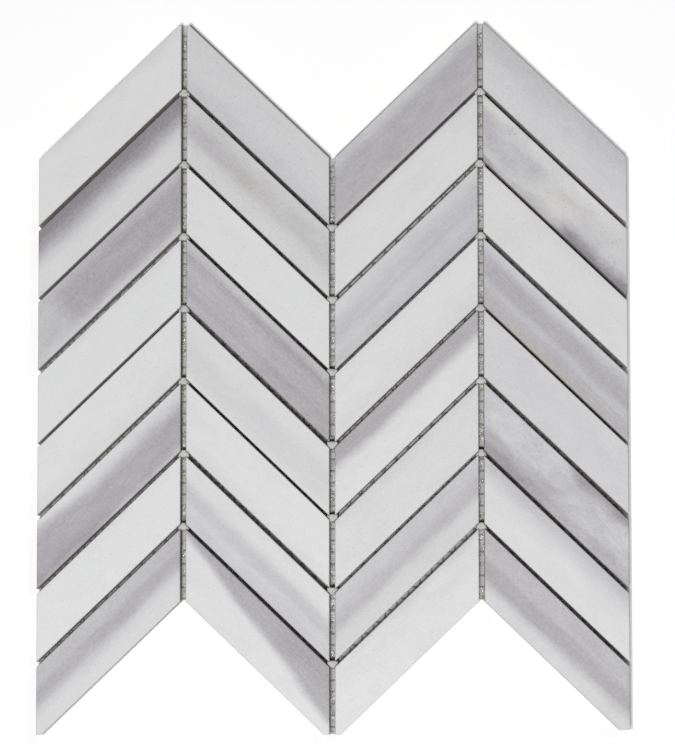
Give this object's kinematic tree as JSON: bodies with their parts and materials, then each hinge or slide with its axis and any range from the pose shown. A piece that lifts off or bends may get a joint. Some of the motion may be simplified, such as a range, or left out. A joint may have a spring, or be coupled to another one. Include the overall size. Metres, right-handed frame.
{
  "type": "chevron mosaic tile sheet",
  "caption": "Interlocking chevron mosaic sheet: leaning marble chips in upright columns, bonded face up on an open glass-fibre mesh, with open joints for grout.",
  "frame": {"origin": "under the middle of the sheet, on the back of the mesh", "axes": "+Z out of the finished face, +Y along the columns towards the peaks of the top edge, +X across the columns"},
  "size_m": [0.2536, 0.306, 0.0105],
  "materials": {
    "marble": "honed white marble with soft grey bands",
    "backing_mesh": "coated glass-fibre scrim",
    "adhesive": "cured pale adhesive"
  },
  "bodies": {
    "root": {"chip_column1_row1": "marble", "chip_column1_row2": "marble", "chip_column1_row3": "marble", "chip_column1_row4": "marble", "chip_column1_row5": "marble", "chip_column1_row6": "marble", "chip_column1_row7": "marble", "chip_column1_row8": "marble", "chip_column2_row1": "marble", "chip_column2_row2": "marble", "chip_column2_row3": "marble", "chip_column2_row4": "marble", "chip_column2_row5": "marble", "chip_column2_row6": "marble", "chip_column2_row7": "marble", "chip_column2_row8": "marble", "chip_column3_row1": "marble", "chip_column3_row2": "marble", "chip_column3_row3": "marble", "chip_column3_row4": "marble", "chip_column3_row5": "marble", "chip_column3_row6": "marble", "chip_column3_row7": "marble", "chip_column3_row8": "marble", "chip_column4_row1": "marble", "chip_column4_row2": "marble", "chip_column4_row3": "marble", "chip_column4_row4": "marble", "chip_column4_row5": "marble", "chip_column4_row6": "marble", "chip_column4_row7": "marble", "chip_column4_row8": "marble", "glue_dabs_joint1": "adhesive", "glue_dabs_joint2": "adhesive", "glue_dabs_joint3": "adhesive", "mesh_crosswise_threads": "backing_mesh", "mesh_lengthwise_threads": "backing_mesh"}
  },
  "joints": []
}
